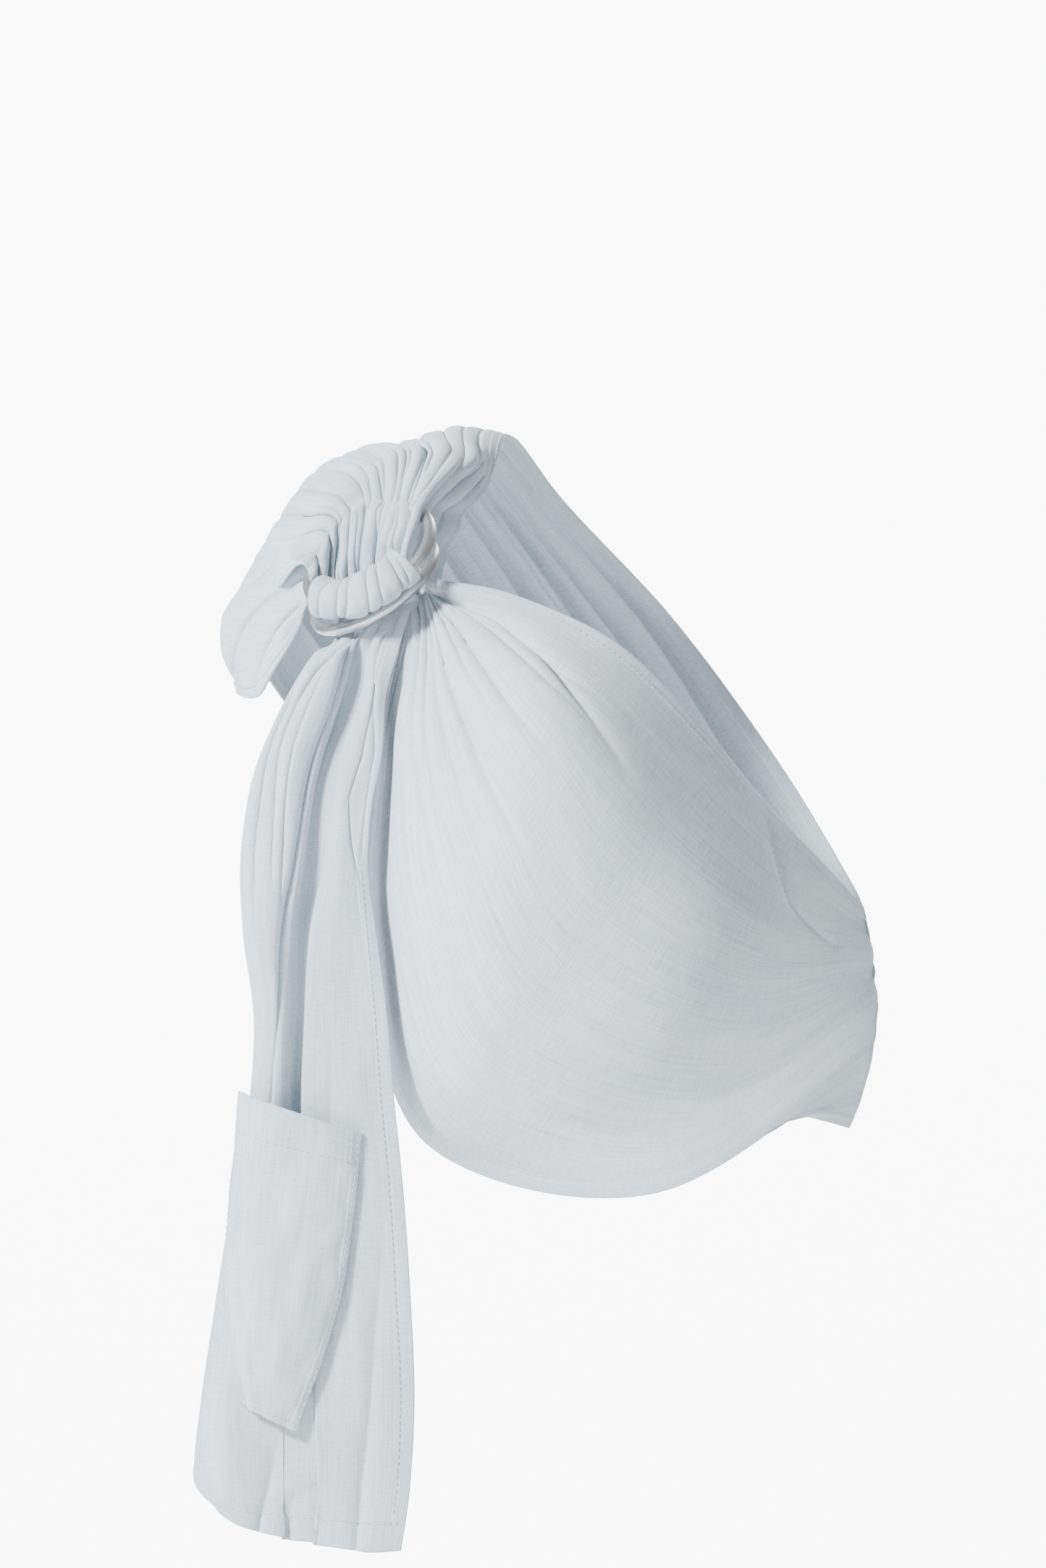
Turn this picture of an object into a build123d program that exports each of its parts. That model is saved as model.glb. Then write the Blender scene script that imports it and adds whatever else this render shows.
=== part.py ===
from build123d import *

import os
from math import cos, radians, sin, sqrt, tan

# Ring sling baby carrier, in the shape it has when worn.
#
# One long woven cloth is sewn at its shoulder end round two aluminium rings. From the rings it
# fans out over the wearer's right shoulder, crosses the back to the left hip, comes round the
# front as the pouch that the baby sits in, and goes back up through both rings. The loose end
# hangs from the rings as the tail, with a patch pocket near its hem.
#
# Frame: millimetres, +Z up, +X to the wearer's left, -Y the way the wearer faces. The origin is
# where the cloth rests on top of the wearer's right shoulder.

# Driving dimensions.
CLOTH = 1.6  # a single layer of cloth, drawn thicker than it is woven
GATHERED = 12.0  # the same cloth where it is pleated
HEM = 3.0  # the same cloth where it is turned under twice
RING_RADIUS = 47.9  # to the middle of the wire
RING_WIRE = 8.5
RING_CENTRE = Vector(-39.9, -122, -90.1)  # of the lower ring
RING_NEAR = Vector(0.2340, -0.9100, -0.3424)  # from the lower ring's centre to its near bar
RING_AXIS = Vector(-0.5134, -0.4147, 0.7513)  # through the lower ring, up and outwards
UPPER_RING_TILT = 10.0  # degrees that the upper ring's near bar leans down to the lower ring
UPPER_FAR_BAR = (8, -41.9, 30)  # the upper ring's far bar, in the lower ring's frame
TORSO_CENTRE_X = 127.0
TORSO_HALF_WIDTH = 182.0
TORSO_HALF_DEPTH = 118.0
TAIL_FRONT = -216.0  # the y of the tail's front layer at the fold
TAIL_LEAN = 2.0  # degrees that the tail's lower stretch leans forwards
TAIL_FOLD_Z = -392.0  # where the tail's upper stretch meets its lower one
TAIL_END_Z = -744.0
TAIL_GAP = 3.0  # between the two, so that the lower one can swing
LAYER_GAP = 0.3  # clearance between layers that lie on each other
POCKET_DEPTH = 14.0
POCKET_WALL = 2.0
POCKET_HEM_HEIGHT = 30.0
STITCH_PITCH = 5.0
STITCH_LENGTH = 3.2
STITCH_RADIUS = 0.4

os.makedirs("parts", exist_ok=True)


def smooth(points, share):
    """The point at a share from 0 to 1 of a smooth curve through evenly spaced points."""
    spans = len(points) - 1
    span = min(int(share * spans), spans - 1)
    t = share * spans - span
    start, end = points[span], points[span + 1]
    before = points[span - 1] if span else start * 2 - end
    after = points[span + 2] if span + 2 <= spans else end * 2 - start
    arrive, leave = (end - before) * 0.5, (after - start) * 0.5
    ease = t * t * (3 - 2 * t)
    return start + (end - start) * ease + arrive * (t * (1 - t) ** 2) - leave * (t * t * (1 - t))


def across_at(stations, along):
    """The points across the cloth at a share of its length."""
    return [smooth([station[k] for station in stations], along) for k in range(len(stations[0]))]


def patch(stations, along, across, rows=9, columns=9):
    """A face over part of the cloth. Stations are lists of points from the upper rail to the
    lower rail; along and across are the shares of the stations and of the width it covers."""
    grid = []
    for i in range(rows):
        line = across_at(stations, along[0] + (along[1] - along[0]) * i / (rows - 1))
        shares = [across[0] + (across[1] - across[0]) * j / (columns - 1) for j in range(columns)]
        grid.append([smooth(line, share) for share in shares])
    return Face.make_surface_from_array_of_points(grid)


def torso(x, z):
    """A point on the wearer's back at x, as far up as z."""
    share = (x - TORSO_CENTRE_X) / TORSO_HALF_WIDTH
    return Vector(x, TORSO_HALF_DEPTH * sqrt(max(0.0, 1 - share * share)), z)


def finish(part, name):
    """Labels a finished piece and writes it."""
    part.label = name
    export_step(part, f"parts/{name}.step")


# ---- Rings ----
# The lower ring's frame: x to its near bar, y along the bar, z through the ring.
ring_plane = Plane(origin=RING_CENTRE, x_dir=RING_NEAR, z_dir=RING_AXIS)
BAR = ring_plane.y_dir


def by_ring(along_bar, to_near_bar, through):
    """A point given in the lower ring's frame."""
    return RING_CENTRE + BAR * along_bar + RING_NEAR * to_near_bar + RING_AXIS * through


tilt = radians(UPPER_RING_TILT)
upper_near = RING_NEAR * cos(tilt) - RING_AXIS * sin(tilt)
upper_ring_plane = Plane(
    origin=by_ring(*UPPER_FAR_BAR) + upper_near * RING_RADIUS,
    x_dir=upper_near,
    z_dir=RING_AXIS * cos(tilt) + RING_NEAR * sin(tilt),
)


def radial_plane(plane, degrees):
    """A plane through a ring's axis, turned round it from the near bar: x outwards, y up."""
    angle = radians(degrees)
    outwards = plane.x_dir * cos(angle) + plane.y_dir * sin(angle)
    return Plane(origin=plane.origin, x_dir=outwards, z_dir=outwards.cross(plane.z_dir))


with BuildPart(ring_plane) as lower_ring:
    Torus(RING_RADIUS, RING_WIRE / 2)

with BuildPart(upper_ring_plane) as upper_ring:
    Torus(RING_RADIUS, RING_WIRE / 2)

# The sewn end: a pleated loop of cloth round both rings' far bars, with its legs sewn together
# where they leave for the shoulder. The points are outwards from the lower ring's axis and up.
FOLD_ARC = 68.0
FOLD_OUTSIDE = [(26, -6), (33, -13), (57, -13), (63, -7), (79, 28), (71, 38), (52, 43), (33, 43), (26, 36)]
FOLD_HOLE = (31, 57, -8, 38)  # inner and outer radius, lowest and highest
with BuildPart() as ring_fold:
    with BuildSketch(radial_plane(ring_plane, 180 - FOLD_ARC / 2)):
        with BuildLine():
            Polyline(*FOLD_OUTSIDE, close=True)
        make_face()
        with Locations(((FOLD_HOLE[0] + FOLD_HOLE[1]) / 2, (FOLD_HOLE[2] + FOLD_HOLE[3]) / 2)):
            RectangleRounded(
                FOLD_HOLE[1] - FOLD_HOLE[0], FOLD_HOLE[3] - FOLD_HOLE[2], 6, mode=Mode.SUBTRACT
            )
    revolve(axis=Axis(RING_CENTRE, RING_AXIS), revolution_arc=FOLD_ARC)

# Three rows of stitches hold the loop's legs together, on the side that shows.
with BuildPart() as ring_fold_stitching:
    for row in range(3):
        outwards = 58 + 5 * row
        height = 43 - 5 * (outwards - 52) / 19 + STITCH_RADIUS + 0.2
        for turn in range(-28, 29, 7):
            with BuildSketch(radial_plane(ring_plane, 180 + turn).offset(-STITCH_LENGTH / 2)):
                with Locations((outwards, height)):
                    Circle(STITCH_RADIUS)
            extrude(amount=STITCH_LENGTH)

# The threaded cloth comes up through both rings and wraps the upper ring's near bar.
WRAP_ARC = 84.0
WRAP_CENTRE = -12.0  # the cloth bunches towards the arm's side of the near bar
WRAP_RADIUS = 10.0
WRAP_BORE = RING_WIRE / 2 + 0.3
with BuildPart() as threaded_bundle:
    with BuildSketch(radial_plane(upper_ring_plane, WRAP_CENTRE - WRAP_ARC / 2)):
        with Locations((RING_RADIUS, 0)):
            Circle(WRAP_RADIUS)
            Circle(WRAP_BORE, mode=Mode.SUBTRACT)
        with Locations((RING_RADIUS, -WRAP_RADIUS)):
            Rectangle(4 * WRAP_RADIUS, 2 * WRAP_RADIUS, mode=Mode.SUBTRACT)
    revolve(axis=Axis(upper_ring_plane.origin, upper_ring_plane.z_dir), revolution_arc=WRAP_ARC)

# The gathered cloth on its way up through both rings, and the tail's on its way down.
with BuildPart() as pouch_neck:
    with BuildSketch(Plane(origin=by_ring(2, -1, -22), x_dir=BAR, z_dir=RING_AXIS)):
        RectangleRounded(54, 19, 8)
    extrude(amount=46)

with BuildPart() as tail_neck:
    with BuildSketch(Plane(origin=by_ring(-6, 20, -18), x_dir=BAR, z_dir=RING_AXIS)):
        RectangleRounded(46, 13, 5)
    extrude(amount=22)

# ---- Shoulder and back ----
# Stations from the rings over the shoulder and down the back to the left hip. Each runs from
# the upper rail, at the neck, to the lower rail, at the arm.
LOOP = [
    [by_ring(46, -80, 42), by_ring(15, -93, 42), by_ring(-15, -93, 42), by_ring(-46, -80, 42)],
    [Vector(32, -54, -8), Vector(-14, -62, -12), Vector(-68, -66, -32), Vector(-108, -60, -88)],
    [Vector(48, -6, 12), Vector(-8, -8, 7), Vector(-78, -6, -20), Vector(-132, -8, -96)],
    [Vector(88, 54, -26), Vector(20, 68, -14), Vector(-62, 62, -56), Vector(-118, 52, -148)],
    [torso(178, -110), torso(112, -128), torso(34, -182), torso(-30, -262)],
    [torso(252, -214), torso(218, -262), torso(168, -330), torso(112, -404)],
    [torso(299, -296), torso(292, -350), torso(274, -408), torso(244, -462)],
    [Vector(307, -20, -316), Vector(314, -22, -372), Vector(311, -22, -424), Vector(296, -20, -474)],
]
RIDGE = 2 / 7  # the station on top of the shoulder, as a share of the loop
BLADE = 3 / 7  # the station over the shoulder blade
FLANK = 5 / 7  # the station where the band leaves the back
SEAM = 0.003  # clearance between neighbouring stretches, as a share of the loop

with BuildPart() as shoulder_gather:
    thicken(patch(LOOP, (0.165, RIDGE - SEAM), (0, 1)), amount=GATHERED)

with BuildPart() as shoulder_cap:
    thicken(patch(LOOP, (RIDGE + SEAM, BLADE), (0, 1)), amount=GATHERED)

with BuildPart() as back_band:
    thicken(patch(LOOP, (BLADE + SEAM, FLANK), (0, 1)), amount=CLOTH)

with BuildPart() as hip_wrap:
    thicken(patch(LOOP, (FLANK + SEAM, 1), (0, 1)), amount=CLOTH)

# The lower rail hangs over the upper arm as a loose flap. Each row gives a share of the loop and
# the way from the rail to the flap's middle and to its hem.
FLAP_ROWS = [
    (0.140, Vector(-4, -12, -22), Vector(-6, -14, -46)),
    (0.190, Vector(-8, -6, -30), Vector(-4, -2, -62)),
    (0.235, Vector(-8, -2, -28), Vector(-4, 2, -60)),
    (0.300, Vector(-6, 2, -20), Vector(-2, 4, -46)),
    (0.375, Vector(-2, 2, -10), Vector(0, 4, -22)),
]
FLAP = []
for share, to_middle, to_hem in FLAP_ROWS:
    rail = across_at(LOOP, share)[-1] + Vector(0, 0, -4)
    FLAP.append([rail, rail + to_middle, rail + to_hem])

with BuildPart() as shoulder_flap:
    thicken(patch(FLAP, (0, 1), (0, 1)), amount=CLOTH)

# ---- Pouch ----
# Its top rail, its turn under the baby on the tail's side, and the rail that comes up behind
# the baby, each from the rings to the left hip.
TOP_RAIL = [
    by_ring(27, 2, -24), Vector(58, -158, -98), Vector(128, -168, -134),
    Vector(190, -150, -192), Vector(250, -104, -262), Vector(306, -23, -318),
]
TURN = [
    by_ring(-22, 2, -24), Vector(-40, -146, -225), Vector(-42, -156, -355),
    Vector(2, -172, -476), Vector(156, -140, -508), Vector(295, -25, -474),
]
BOTTOM_RAIL = [
    by_ring(6, -12, -24), Vector(-6, -124, -205), Vector(16, -126, -300),
    Vector(74, -126, -392), Vector(186, -112, -436), Vector(291, -23, -468),
]
BULGE = [6.0, 62.0, 112.0, 128.0, 118.0, 12.0]  # forward of the line from rail to turn
HEM_SHARE = 0.03


def pouch_station(rail, turn, bottom, bulge):
    """Points round one section of the pouch: down its front, under it and up behind."""
    forward = Vector(0, -bulge, 0)
    under = (turn + bottom) * 0.5 + (turn - rail).normalized() * (0.16 * bulge)
    upper_front = rail + (turn - rail) * 0.27 + forward * 0.86
    lower_front = rail + (turn - rail) * 0.72 + forward * 0.90
    return [rail, upper_front, lower_front, turn, under, bottom]


POUCH = [pouch_station(*row) for row in zip(TOP_RAIL, TURN, BOTTOM_RAIL, BULGE)]

# The front runs from the top rail's hem to the turn, and the underside from there to the rail
# behind the baby.
TURN_SHARE = 0.6
with BuildPart() as pouch:
    front = (HEM_SHARE + 3 * SEAM, TURN_SHARE - SEAM)
    thicken(patch(POUCH, (0.04, 1), front, rows=13, columns=10), amount=CLOTH)

with BuildPart() as pouch_underside:
    under = (TURN_SHARE + 2 * SEAM, 1 - HEM_SHARE - 8 * SEAM)
    thicken(patch(POUCH, (0.06, 1), under, rows=13, columns=7), amount=CLOTH)

with BuildPart() as pouch_top_hem:
    thicken(patch(POUCH, (0.07, 0.97), (0, HEM_SHARE), rows=13, columns=3), amount=HEM)

with BuildPart() as pouch_bottom_hem:
    thicken(patch(POUCH, (0.2, 0.92), (1 - HEM_SHARE, 1), rows=13, columns=3), amount=CLOTH)

# ---- Tail ----
# The tail hangs folded: a front layer, a fold at its left and a rear layer. Each row gives a
# height, the front layer's right edge, the fold's x, the front layer's y and half the depth.
TAIL_UPPER_ROWS = [
    (-134, -38, -82, -159, 7), (-186, -44, -106, -182, 10), (-238, -46, -123, -200, 12),
    (-290, -42, -129, -211, 13), (-340, -36, -124, -215, 13), (TAIL_FOLD_Z, -30, -119, TAIL_FRONT, 12),
]
TAIL_LOWER_ROWS = [
    (TAIL_FOLD_Z - TAIL_GAP, -30, -119, 12), (-465, -22, -127, 12), (-535, -16, -135, 13),
    (-605, -11, -147, 15), (-675, -13, -160, 17), (TAIL_END_Z, -20, -142, 19),
]


def tail_front(z):
    """The y of the tail's front layer at a height below the fold."""
    return TAIL_FRONT + (z - TAIL_FOLD_Z) * tan(radians(TAIL_LEAN))


def tail_stations(rows):
    """Points round the folded tail at each height, from the front layer's right edge."""
    stations = []
    for z, right, left, front, depth in rows:
        rear_edge = right - (right - left) * 0.35
        stations.append([
            Vector(right, front, z), Vector((right + left) / 2, front, z),
            Vector(left + depth, front, z), Vector(left, front + depth, z),
            Vector(left + depth, front + 2 * depth, z), Vector(rear_edge, front + 2 * depth, z),
        ])
    return stations


with BuildPart() as tail_upper:
    thicken(patch(tail_stations(TAIL_UPPER_ROWS), (0, 1), (0, 1), rows=11, columns=16), amount=CLOTH)

leaning_rows = [(z, right, left, tail_front(z), depth) for z, right, left, depth in TAIL_LOWER_ROWS]
with BuildPart() as tail_lower:
    thicken(patch(tail_stations(leaning_rows), (0, 1), (0, 1), rows=11, columns=16), amount=CLOTH)


def facing(clearance):
    """A plane in front of the tail's lower stretch, with x and z as its own two directions."""
    lean = radians(TAIL_LEAN)
    forwards = Vector(0, -cos(lean), sin(lean))
    return Plane(origin=Vector(0, tail_front(0), 0) + forwards * clearance, x_dir=(1, 0, 0), z_dir=forwards)


def stitch_row(start, end, plane):
    """Stitches lying on a plane, from one point of it to another."""
    way = Vector(*end) - Vector(*start)
    angle = Vector(1, 0, 0).get_signed_angle(way)
    for i in range(int(way.length / STITCH_PITCH)):
        middle = Vector(*start) + way * ((i + 0.5) * STITCH_PITCH / way.length)
        with BuildSketch(plane) as dash:
            with Locations(Location((middle.X, middle.Y), angle)):
                SlotOverall(STITCH_LENGTH, 2 * STITCH_RADIUS)
        extrude(dash.sketch, amount=STITCH_RADIUS)


TAIL_FACE = CLOTH + LAYER_GAP
TAIL_HEM = [(-138, TAIL_END_Z), (-22, TAIL_END_Z), (-20, TAIL_END_Z + 22), (-142, TAIL_END_Z + 22)]
with BuildPart() as tail_end_hem:
    with BuildSketch(facing(TAIL_FACE)):
        with BuildLine():
            Polyline(*TAIL_HEM, close=True)
        make_face()
    extrude(amount=CLOTH)

with BuildPart() as tail_end_stitching:
    stitch_row((-138, TAIL_END_Z + 19), (-24, TAIL_END_Z + 19), facing(TAIL_FACE + CLOTH + LAYER_GAP))

# The pocket's outline, from its mouth's arm-side corner. Its cavity is set in from the outline by
# the seam's width, and runs out above the mouth so that the top is open.
POCKET_OUTLINE = [
    (-124, -438), (-46, -462), (-52, -526), (-66, -592), (-90, -664), (-128, -646), (-134, -573),
]
MOUTH_RISE = 12
POCKET_CAVITY = [
    (-121, -438 + MOUTH_RISE), (-49, -462 + MOUTH_RISE), (-49, -462), (-55, -526), (-69, -591),
    (-91, -660), (-125, -644), (-131, -573), (-121, -438),
]
with BuildPart() as pocket:
    with BuildSketch(facing(TAIL_FACE)):
        with BuildLine():
            Polyline(*POCKET_OUTLINE, close=True)
        make_face()
    extrude(amount=POCKET_DEPTH)
    with BuildSketch(facing(TAIL_FACE)):
        with BuildLine():
            Polyline(*POCKET_CAVITY, close=True)
        make_face()
    extrude(amount=POCKET_DEPTH - POCKET_WALL, mode=Mode.SUBTRACT)

POCKET_FACE = TAIL_FACE + POCKET_DEPTH + LAYER_GAP
POCKET_HEM = [
    (-124, -438), (-46, -462), (-47.5, -462 - POCKET_HEM_HEIGHT), (-125.5, -438 - POCKET_HEM_HEIGHT),
]
with BuildPart() as pocket_mouth_hem:
    with BuildSketch(facing(POCKET_FACE)):
        with BuildLine():
            Polyline(*POCKET_HEM, close=True)
        make_face()
    extrude(amount=CLOTH)

hem_stitches = facing(POCKET_FACE + CLOTH + LAYER_GAP)
with BuildPart() as pocket_mouth_stitching:
    stitch_row((-123, -438 - POCKET_HEM_HEIGHT + 4), (-50, -462 - POCKET_HEM_HEIGHT + 5), hem_stitches)
    stitch_row((-56, -464), (-57, -488), hem_stitches)
    stitch_row((-50, -466), (-51, -490), hem_stitches)

POCKET_SEAM = [(-51, -496), (-55, -526), (-69, -590), (-92, -659), (-126, -643), (-131, -573), (-124, -472)]
with BuildPart() as pocket_stitching:
    for start, end in zip(POCKET_SEAM, POCKET_SEAM[1:]):
        stitch_row(start, end, facing(POCKET_FACE))

finish(lower_ring.part, "lower_ring")
finish(upper_ring.part, "upper_ring")
finish(ring_fold.part, "ring_fold")
finish(ring_fold_stitching.part, "ring_fold_stitching")
finish(threaded_bundle.part, "threaded_bundle")
finish(pouch_neck.part, "pouch_neck")
finish(tail_neck.part, "tail_neck")
finish(shoulder_gather.part, "shoulder_gather")
finish(shoulder_cap.part, "shoulder_cap")
finish(shoulder_flap.part, "shoulder_flap")
finish(back_band.part, "back_band")
finish(hip_wrap.part, "hip_wrap")
finish(pouch.part, "pouch")
finish(pouch_underside.part, "pouch_underside")
finish(pouch_top_hem.part, "pouch_top_hem")
finish(pouch_bottom_hem.part, "pouch_bottom_hem")
finish(tail_upper.part, "tail_upper")
finish(tail_lower.part, "tail_lower")
finish(tail_end_hem.part, "tail_end_hem")
finish(tail_end_stitching.part, "tail_end_stitching")
finish(pocket.part, "pocket")
finish(pocket_mouth_hem.part, "pocket_mouth_hem")
finish(pocket_mouth_stitching.part, "pocket_mouth_stitching")
finish(pocket_stitching.part, "pocket_stitching")
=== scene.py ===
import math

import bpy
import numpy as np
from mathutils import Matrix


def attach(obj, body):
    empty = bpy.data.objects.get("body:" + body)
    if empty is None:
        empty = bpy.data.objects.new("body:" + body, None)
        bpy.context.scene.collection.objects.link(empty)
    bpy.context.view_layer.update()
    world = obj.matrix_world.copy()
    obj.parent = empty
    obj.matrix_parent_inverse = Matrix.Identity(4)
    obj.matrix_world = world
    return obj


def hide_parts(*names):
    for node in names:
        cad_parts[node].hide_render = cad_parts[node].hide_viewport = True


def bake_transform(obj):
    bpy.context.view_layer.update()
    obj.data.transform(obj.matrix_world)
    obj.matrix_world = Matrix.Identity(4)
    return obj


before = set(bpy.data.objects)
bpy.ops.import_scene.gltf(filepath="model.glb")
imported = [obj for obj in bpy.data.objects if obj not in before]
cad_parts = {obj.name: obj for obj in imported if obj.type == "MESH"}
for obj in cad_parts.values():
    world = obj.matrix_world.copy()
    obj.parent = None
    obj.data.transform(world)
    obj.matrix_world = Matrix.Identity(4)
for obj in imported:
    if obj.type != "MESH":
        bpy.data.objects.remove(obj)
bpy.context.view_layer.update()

# Looks for the ring sling: woven cloth in pleats and folds, satin rings, seams and a soft studio.
# The CAD frame is +Z up, +X to the wearer's left and -Y the way the wearer faces, with the origin
# on top of the wearer's right shoulder. Stations and crease depths are in mm, all else in metres.

MM = 0.001
WEAVE_WIDTH = 0.64  # how much weave lies across the loop and the pouch
CLOTH_THICKNESS = 0.9 * MM
HEM_THICKNESS = 2.0 * MM
RAIL_HEM, TAIL_END_HEM, POCKET_MOUTH_HEM, POCKET_HEM = 9, 21, 30, 6  # widths in mm
SPARED_EDGE = 9 * MM  # creases fade out this close to a side edge
DEEPEST_CREASE = 0.06  # of the cloth's width at that row


# ---------------------------------------------------------------- curves and surfaces
def along(points, shares):
    """Points at shares from 0 to 1 of a smooth curve. Points may be an array of whole curves."""
    points = np.asarray(points, float)
    spans = len(points) - 1
    place = np.clip(np.asarray(shares, float), 0, 1) * spans
    span = np.minimum(place.astype(int), spans - 1)
    t = (place - span).reshape((-1,) + (1,) * (points.ndim - 1))
    padded = np.concatenate([[2 * points[0] - points[1]], points, [2 * points[-1] - points[-2]]])
    before, start, end, after = (padded[span + k] for k in range(4))
    return 0.5 * (
        2 * start + (end - before) * t + (2 * before - 5 * start + 4 * end - after) * t**2
        + (3 * start - before - 3 * end + after) * t**3
    )


def surface(stations, rows, columns):
    """A grid of points: rows are shares along the stations, columns shares across each one."""
    lines = along(np.asarray(stations, float) * MM, rows)
    return np.swapaxes(along(np.swapaxes(lines, 0, 1), columns), 0, 1)


def normals(grid):
    """Unit normals of a grid of points."""
    down = np.gradient(grid, axis=0)
    across = np.gradient(grid, axis=1)
    n = np.cross(down, across)
    return n / np.maximum(np.linalg.norm(n, axis=2, keepdims=True), 1e-12)


def lengths(grid, axis):
    """Distance from the start of each line of a grid, along an axis."""
    step = np.linalg.norm(np.diff(grid, axis=axis), axis=2)
    total = np.cumsum(step, axis=axis)
    return np.concatenate([np.zeros_like(total.take([0], axis)), total], axis)


def smoothstep(x, low, high):
    """From 0 at low to 1 at high, level at both."""
    t = np.clip((x - low) / (high - low), 0, 1)
    return t * t * (3 - 2 * t)


def crease_field(grid, rows, columns, creases):
    """How far in each point of a grid goes, and how far sideways. A crease is its path of
    (share along, share across), its depth at each of those, and its half-width, both in mm."""
    span = lengths(grid, 1)[:, -1:]
    depth_in = np.zeros(grid.shape[:2])
    sideways = np.zeros(grid.shape[:2])
    for path, depths, half_width in creases:
        at = [p[0] for p in path]
        middle = np.interp(rows, at, [p[1] for p in path])[:, None]
        depth = np.interp(rows, at, depths, left=0, right=0)[:, None] * MM
        depth = np.minimum(depth, DEEPEST_CREASE * span)
        x = (columns[None, :] - middle) * span / (half_width * MM)
        depth_in += depth * np.exp(-1.5 * np.abs(x) ** 1.15)
        sideways -= 0.32 * depth * x * np.exp(-0.6 * x**2)
    from_edge = np.minimum(columns, 1 - columns)[None, :] * span
    spared = smoothstep(from_edge, 0, SPARED_EDGE)
    return depth_in * spared, sideways * spared


def pleated(grid, rows, columns, creases, outwards=1):
    """The grid with its creases pressed in."""
    n = normals(grid) * outwards
    across = np.gradient(grid, axis=1)
    across /= np.maximum(np.linalg.norm(across, axis=2, keepdims=True), 1e-12)
    depth, sideways = crease_field(grid, rows, columns, creases)
    return grid - n * depth[..., None] + across * sideways[..., None]


def soft_noise(shape, cells, seed):
    """Smooth random values from -1 to 1 over a grid, with about cells of them each way."""
    values = np.random.default_rng(seed).uniform(-1, 1, (cells[0] + 3, cells[1] + 3))
    lines = along(values[:, :, None], np.linspace(0, 1, shape[0]))
    return along(np.swapaxes(lines, 0, 1), np.linspace(0, 1, shape[1]))[..., 0].T


def uneven(folded, grid, cells, seed, height):
    """The folded cloth with soft unevenness of up to height, in mm, along the plain grid's normals."""
    wobble = soft_noise(grid.shape[:2], cells, seed) * height * MM
    return folded + normals(grid) * wobble[..., None]


# ---------------------------------------------------------------- meshes
def make_mesh(name, vertices, faces, uvs=None):
    """An object from arrays: faces are quads, uvs are one pair for each vertex."""
    mesh = bpy.data.meshes.new(name)
    mesh.from_pydata(vertices.tolist(), [], faces.tolist())
    if uvs is not None:
        layer = mesh.uv_layers.new(name="cloth")
        order = np.empty(len(mesh.loops), int)
        mesh.loops.foreach_get("vertex_index", order)
        layer.data.foreach_set("uv", np.asarray(uvs, np.float32)[order].ravel())
    mesh.polygons.foreach_set("use_smooth", np.ones(len(mesh.polygons), bool))
    mesh.update()
    made = bpy.data.objects.new(name, mesh)
    bpy.context.scene.collection.objects.link(made)
    return made


def quads(height, width, first=0, flip=False):
    """The faces of a grid of vertices."""
    i, j = np.meshgrid(np.arange(height - 1), np.arange(width - 1), indexing="ij")
    a = first + i * width + j
    faces = np.stack([a, a + 1, a + width + 1, a + width], -1).reshape(-1, 4)
    return faces[:, ::-1] if flip else faces


def cloth(name, grid, uvs, outwards=1, thickness=CLOTH_THICKNESS, hems=(0, 0, 0, 0)):
    """A closed sheet of cloth round a grid, in the cloth's material. Hems are their widths in mm
    at the first and last row and the first and last column."""
    height, width = grid.shape[:2]
    n = normals(grid) * outwards
    thick = np.full((height, width), thickness)
    from_start, from_side = lengths(grid, 0), lengths(grid, 1)
    reaches = [from_start, from_start[-1:] - from_start, from_side, from_side[:, -1:] - from_side]
    for width_mm, reach in zip(hems, reaches):
        if width_mm:
            turned = 1 - smoothstep(reach, (width_mm - 1) * MM, width_mm * MM)
            thick = np.maximum(thick, thickness + (HEM_THICKNESS - thickness) * turned)
    front = grid + n * (thick[..., None] / 2)
    back = grid - n * (thick[..., None] / 2)
    count = height * width
    edge = np.concatenate([
        np.arange(width), np.arange(1, height) * width + width - 1,
        (height - 1) * width + np.arange(width - 2, -1, -1), np.arange(height - 2, 0, -1) * width,
    ])
    ahead = np.roll(edge, -1)
    rim = np.stack([edge, edge + count, ahead + count, ahead], -1)
    flip = outwards < 0
    faces = np.concatenate([
        quads(height, width, 0, flip), quads(height, width, count, not flip),
        rim[:, ::-1] if flip else rim,
    ])
    vertices = np.concatenate([front.reshape(-1, 3), back.reshape(-1, 3)])
    made = make_mesh(name, vertices, faces, np.concatenate([uvs.reshape(-1, 2)] * 2))
    made.data.materials.append(CLOTH)
    return made


def cloth_uvs(rows, columns, start, length, width=WEAVE_WIDTH):
    """Where each point of a grid lies on the flat cloth, in metres."""
    down, across = np.meshgrid(start + rows * length, columns * width, indexing="ij")
    return np.stack([across, down], -1)


def on_cloth(grid, row_share, column_share, outwards=1, lift=HEM_THICKNESS / 2 + 0.2 * MM):
    """Points on a grid's outer face at shares of its rows and columns, and the way out there."""
    count = 400
    rows = np.linspace(*row_share, count) * (grid.shape[0] - 1)
    columns = np.linspace(*column_share, count) * (grid.shape[1] - 1)
    i = np.minimum(rows.astype(int), grid.shape[0] - 2)
    j = np.minimum(columns.astype(int), grid.shape[1] - 2)
    u, v = (rows - i)[:, None], (columns - j)[:, None]
    sampled = []
    for field in (grid, normals(grid) * outwards):
        near = field[i, j] * (1 - v) + field[i, j + 1] * v
        far = field[i + 1, j] * (1 - v) + field[i + 1, j + 1] * v
        sampled.append(near * (1 - u) + far * u)
    return sampled[0] + sampled[1] * lift, sampled[1]


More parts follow.
